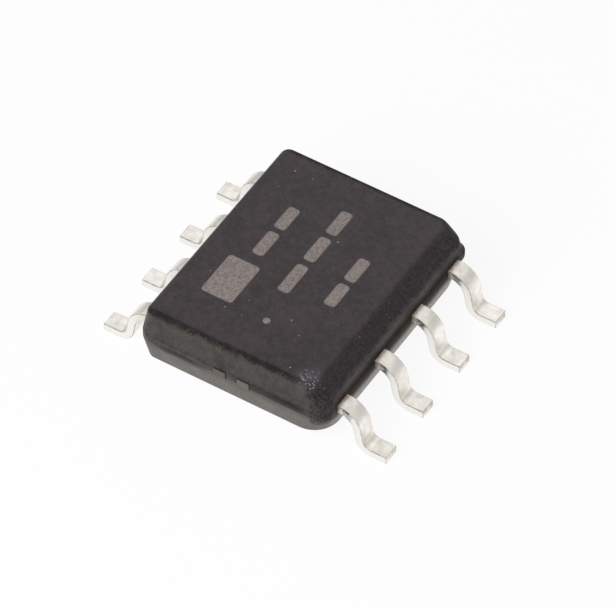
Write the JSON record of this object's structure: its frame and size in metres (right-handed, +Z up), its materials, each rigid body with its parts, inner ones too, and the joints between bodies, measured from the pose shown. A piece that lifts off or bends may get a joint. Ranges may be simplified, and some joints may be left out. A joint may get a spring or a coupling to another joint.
{
  "type": "mosfet driver chip",
  "caption": "Flat rectangular chip moulded in black epoxy with drafted walls, one bevelled top edge and tin-plated gull-wing leads; it drives the gate of a power transistor.",
  "frame": {"origin": "centre of the plane that the feet stand on", "axes": "+X along the body from the first lead to the fourth, +Y across the lead rows away from the bevelled side, +Z up from the board"},
  "size_m": [0.005, 0.006, 0.0015],
  "materials": {
    "moulded_epoxy": "matte moulded epoxy with a fine grain",
    "tin_plated_copper": "matte tin plating",
    "copper_frame": "bare copper, sheared at the ends",
    "silver_adhesive": "cured silver-filled adhesive",
    "silicon": "polished silicon",
    "gold_wire": "drawn wire"
  },
  "bodies": {
    "root": {"moulded_body": "moulded_epoxy", "die_paddle": "copper_frame", "die_attach": "silver_adhesive", "die": "silicon", "lead_1": "tin_plated_copper", "lead_2": "tin_plated_copper", "lead_3": "tin_plated_copper", "lead_4": "tin_plated_copper", "lead_5": "tin_plated_copper", "lead_6": "tin_plated_copper", "lead_7": "tin_plated_copper", "lead_8": "tin_plated_copper", "bond_wire_1": "gold_wire", "bond_wire_2": "gold_wire", "bond_wire_3": "gold_wire", "bond_wire_4": "gold_wire", "bond_wire_5": "gold_wire", "bond_wire_6": "gold_wire", "bond_wire_7": "gold_wire", "bond_wire_8": "gold_wire"}
  },
  "joints": []
}
